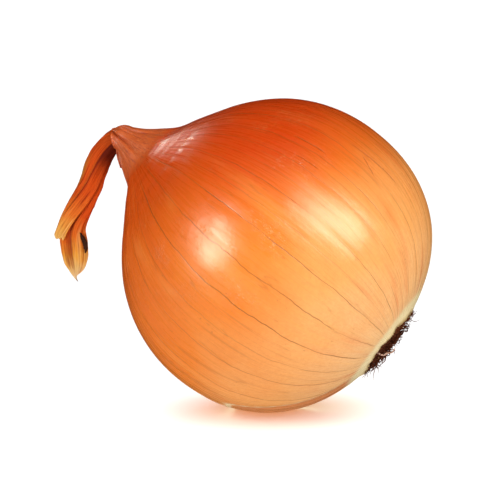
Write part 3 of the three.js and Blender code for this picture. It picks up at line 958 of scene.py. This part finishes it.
    relief = fibre * 0.5 + noise(wire, spot, 0.35, 3.0) * 0.6 + grain * 0.25 - vein * 0.3
    relief = relief + collar * crinkle * 3.0 - split * 2.0 + scratch * 0.8
    bump = wire.node("Bump", {"Strength": 0.35, "Distance": 0.25 * mm, "Height": relief})
    gloss = fibre.ramp(0.3, 0.7, (skin["roughness"] - 0.05, skin["roughness"] + 0.09))
    gloss = gloss + collar * 0.15
    shader = wire.node("BsdfPrincipled", {
        "Base Color": colour, "Roughness": gloss, "Normal": bump, "IOR": 1.45,
        "Specular IOR Level": 0.5})
    wire.node("OutputMaterial", {"Surface": shader})
    return material


leafFinish = {
    "stops": ((0.0, (0.50, 0.07, 0.008)), (0.22, (0.56, 0.07, 0.008)), (0.48, (0.62, 0.075, 0.009)),
              (0.60, (0.70, 0.15, 0.016)), (0.70, (0.76, 0.33, 0.05)), (0.79, (0.78, 0.47, 0.17)),
              (0.94, (0.80, 0.58, 0.38)), (1.0, (0.20, 0.09, 0.05))),
    "sheathStops": ((0.0, (0.50, 0.07, 0.008)), (0.3, (0.56, 0.07, 0.008)),
                    (0.62, (0.64, 0.085, 0.010)), (0.76, (0.70, 0.16, 0.020)),
                    (0.88, (0.74, 0.32, 0.06)), (1.0, (0.76, 0.42, 0.12))),
    # painted shade for the folds and creases of the leaf
    "creaseShadeColour": (0.22, 0.010, 0.004), "oliveColour": (0.40, 0.22, 0.035),
    # the mouth colour is painted shadow for where the leaf leaves the mouth
    "paleColour": (0.92, 0.50, 0.17), "mouthShadowColour": (0.10, 0.008, 0.004),
}


def leafMaterial(name, stops, seed, mouthSide, mouthEnd):
    material, wire = newMaterial(name)
    spot = coordinates(wire)
    across = wire.node("SeparateXYZ", {0: wire.node("UVMap", uv_map="leaf")})
    along = across.other(1)
    patch = noise(wire, spot, 0.25, 3.0)
    colour = (along + (patch - 0.5) * 0.16).colours(*stops)
    fibre = noise(wire, wire.node("CombineXYZ", {0: across * 60.0, 1: along * 5.0, 2: seed}),
                  1.0, 3.0, 0.6)
    ridge = noise(wire, wire.node("CombineXYZ", {0: across * 18.0, 1: along * 2.5, 2: seed + 3.0}),
                  1.0, 2.0)
    # painted shade in the creases between the ridges
    creaseShade = ridge.ramp(0.55, 0.75, (0.0, 0.75)) * along.ramp(0.62, 0.85, (1.0, 0.45))
    colour = creaseShade.mix(colour, leafFinish["creaseShadeColour"])
    low = along.ramp(0.4, 0.7)
    colour = (ridge.ramp(0.45, 0.3, (0.0, 0.5)) * low).mix(colour, leafFinish["paleColour"])
    colour = fibre.ramp(0.46, 0.7, (0.0, 0.5)).mix(colour, (0.30, 0.035, 0.008), "MULTIPLY")
    # painted shade along the long fold down the leaf
    longCreaseShade = (across - 0.66).maths("ABSOLUTE", across - 0.66).ramp(0.0, 0.07, (0.85, 0.0))
    colour = (longCreaseShade * along.ramp(0.9, 0.6)).mix(colour, leafFinish["creaseShadeColour"])
    # painted shadow where it leaves the mouth, on the side that the lip shades
    shadow = along.ramp(mouthEnd, mouthEnd * 0.55) * across.ramp(mouthSide, mouthSide + 0.12)
    colour = (shadow * 0.9).mix(colour, leafFinish["mouthShadowColour"])
    # an olive strip down its lower half
    olive = across.ramp(0.36, 0.28) * across.ramp(0.1, 0.2) * along.ramp(0.3, 0.5)
    colour = (olive * 0.6).mix(colour, leafFinish["oliveColour"])
    relief = fibre * 0.5 + ridge * 1.2 + noise(wire, spot, 1.1, 3.0) * 0.4
    bump = wire.node("Bump", {"Strength": 0.6, "Distance": 0.35 * mm, "Height": relief})
    shader = wire.node("BsdfPrincipled", {
        "Base Color": colour, "Roughness": fibre.ramp(0.3, 0.7, (0.5, 0.7)), "Normal": bump,
        "Specular IOR Level": 0.03})
    wire.node("OutputMaterial", {"Surface": shader})
    return material


def plainMaterial(name, dark, light, scale, roughness, depth):
    material, wire = newMaterial(name)
    spot = coordinates(wire)
    grain = noise(wire, spot, scale, 4.0, 0.65)
    patch = noise(wire, spot, scale * 0.2, 2.0)
    colour = (grain * 0.5 + patch * 0.5).colours((0.30, dark), (0.68, light))
    bump = wire.node("Bump", {"Strength": 0.6, "Distance": depth * mm, "Height": grain})
    shader = wire.node("BsdfPrincipled", {"Base Color": colour, "Roughness": roughness,
                                          "Normal": bump, "Specular IOR Level": 0.02})
    wire.node("OutputMaterial", {"Surface": shader})
    return material


give(bulbSkin, skinMaterial(), "skin", "bulb")
give(longLeaf, leafMaterial("long leaf", leafFinish["stops"], 0.0, 0.40, 0.34), "pale_leaf",
     "neck_leaf_inner")
give(sheath, leafMaterial("leaf sheath", leafFinish["sheathStops"], 7.0, 0.42, 0.50), "dry_leaf",
     "neck_leaf_outer")
deadLeaf = plainMaterial("dead leaf", (0.012, 0.004, 0.003), (0.07, 0.025, 0.015), 1.2, 0.6, 0.2)
give(leafScrap, deadLeaf, "dead_leaf", "neck_leaf_scrap")
cork = plainMaterial("root cork", (0.018, 0.003, 0.002), (0.22, 0.065, 0.03), 0.8, 0.9, 0.3)
give(corkPlate, cork, "cork", "root_plate")
rootBark = plainMaterial("root bark", (0.03, 0.006, 0.003), (0.13, 0.036, 0.016), 0.7, 0.8, 0.1)
paleBark = plainMaterial("pale root", (0.42, 0.20, 0.15), (0.85, 0.62, 0.52), 0.7, 0.5, 0.1)
*rootBunches, looseRoots, paleRoot = dryRoots
for number, root in enumerate(rootBunches, 1):
    give(root, rootBark, "root_bark", f"root_{number:02d}")
give(looseRoots, rootBark, "root_bark")
give(paleRoot, paleBark, "root_bark")
for piece in [bulbSkin, longLeaf, sheath, leafScrap, corkPlate] + dryRoots:
    for face in piece.data.polygons:
        face.use_smooth = True
print("materials made")


# Floor, light and camera

camera = {"azimuth": 13, "elevation": 8, "distance": 0.85, "width": 0.1361,
          "aimRight": -0.00694, "aimUp": 0.0011}

# the sky gives the light that a white floor would send up, and the floor has its own sun
studio = {"below": 1.4, "top": 0.10, "skyLow": -0.45, "skyHigh": 0.10,
          "skyColour": (1.0, 0.95, 0.88), "lampColour": (1.0, 0.95, 0.80),
          "floor": 0.455, "floorSun": 7.2, "sunTilt": 8, "sunAngle": 155}


def makeStage():
    contact = Vector((bulbCentre.x, 0, 0))
    stopEditing()
    bpy.ops.mesh.primitive_plane_add(size=16, location=(0, 0, 0))
    floor = nameIt("floor")
    material, wire = newMaterial("white table")
    # paler round the onion, to make up for the light that it keeps off
    away = wire.node("VectorMath", {0: coordinates(wire), 1: tuple(contact / mm)}, output=1,
                     operation="DISTANCE")
    share = away / bulb["radius"]
    kept = (share * share + 1.0).maths("POWER", share * share + 1.0, -1.5)
    pale = kept.maths("MINIMUM", (1.0 - kept).maths("DIVIDE", studio["floor"], 1.0 - kept), 0.92)
    shader = wire.node("BsdfPrincipled", {
        "Base Color": wire.node("CombineXYZ", {0: pale, 1: pale, 2: pale}), "Roughness": 0.6})
    wire.node("OutputMaterial", {"Surface": shader})
    floor.data.materials.append(material)
    floor.visible_diffuse = False  # the light it would throw up comes from the sky instead
    floor.visible_glossy = False

    world = bpy.data.worlds.new("studio")
    bpy.context.scene.world = world
    world.use_nodes = True
    world.node_tree.nodes.clear()
    wire = Wire(world.node_tree)
    upward = wire.node("SeparateXYZ", {0: wire.node("TexCoord", output=0)}, output=2)
    brightness = upward.ramp(studio["skyLow"], studio["skyHigh"],
                             (studio["below"], studio["top"]))
    sky = wire.node("Background", {"Color": studio["skyColour"], "Strength": brightness})
    wire.node("OutputWorld", {"Surface": sky})
    world.cycles_visibility.glossy = False
    return floor


def softBox(name, azimuth, elevation, distance, size, power, lean=0, lights=True, shines=True):
    # a lamp seen from the bulb's centre, azimuth 0 at the camera and growing to the right;
    # some only light the object and some only shine on it
    around = math.radians(camera["azimuth"] + azimuth)
    up = math.radians(elevation)
    away = Vector((math.sin(around) * math.cos(up), -math.cos(around) * math.cos(up),
                   math.sin(up)))
    bpy.ops.object.light_add(type="AREA", location=bulbCentre + away * distance)
    lamp = bpy.context.object
    lamp.name = name
    lamp.data.shape = "RECTANGLE"
    lamp.data.size, lamp.data.size_y = size
    lamp.data.energy = power
    lamp.data.color = studio["lampColour"]
    facing = away.to_track_quat("Z", "Y").to_matrix() @ Matrix.Rotation(math.radians(lean), 3, "Z")
    lamp.rotation_euler = facing.to_euler()
    lamp.visible_camera = False
    lamp.visible_diffuse = lights
    lamp.visible_glossy = shines
    lamp.light_linking.receiver_collection = notFloor


def makeCamera():
    around, up = math.radians(camera["azimuth"]), math.radians(camera["elevation"])
    back = Vector((math.sin(around) * math.cos(up), -math.cos(around) * math.cos(up),
                   math.sin(up)))
    right = Vector((math.cos(around), math.sin(around), 0))
    aim = bulbCentre + right * camera["aimRight"] + right.cross(-back) * camera["aimUp"]
    bpy.ops.object.camera_add(location=aim + back * camera["distance"])
    made = bpy.context.object
    made.data.sensor_width = 36
    made.data.lens = 36 * camera["distance"] / camera["width"]
    made.rotation_euler = back.to_track_quat("Z", "Y").to_euler()
    made.data.clip_start = 0.05
    bpy.context.scene.camera = made


whiteFloor = makeStage()
notFloor = bpy.data.collections.new("not the floor")
notFloor.objects.link(whiteFloor)
notFloor.collection_objects[0].light_linking.link_state = "EXCLUDE"
softBox("left box", -44, 13, 0.9, (0.15, 0.34), 3.4, shines=False)
softBox("left shine", -49, 14, 0.9, (0.34, 0.48), 9.5, lean=12, lights=False)
softBox("right box", 44, 32, 0.9, (0.52, 0.32), 7.0, shines=False)
softBox("right shine", 43, 30, 0.9, (0.85, 0.42), 14.0, lean=-35, lights=False)
softBox("back box", -150, 26, 0.9, (0.12, 0.07), 0.7)
softBox("fill", 0, 70, 1.2, (1.2, 0.9), 3.0, shines=False)

# a very broad light from above that only the floor takes
sunTurn = (math.radians(studio["sunTilt"]), 0, math.radians(camera["azimuth"]))
bpy.ops.object.light_add(type="SUN", location=(0, 0, 1), rotation=sunTurn)
floorSun = bpy.context.object
floorSun.name = "floor sun"
floorSun.data.energy = studio["floorSun"]
floorSun.data.angle = math.radians(studio["sunAngle"])
onlyFloor = bpy.data.collections.new("lit by floor sun")
onlyFloor.objects.link(whiteFloor)
floorSun.light_linking.receiver_collection = onlyFloor
makeCamera()
view = bpy.context.scene.view_settings
view.view_transform = "Standard"
view.look = "None"
print("stage made")
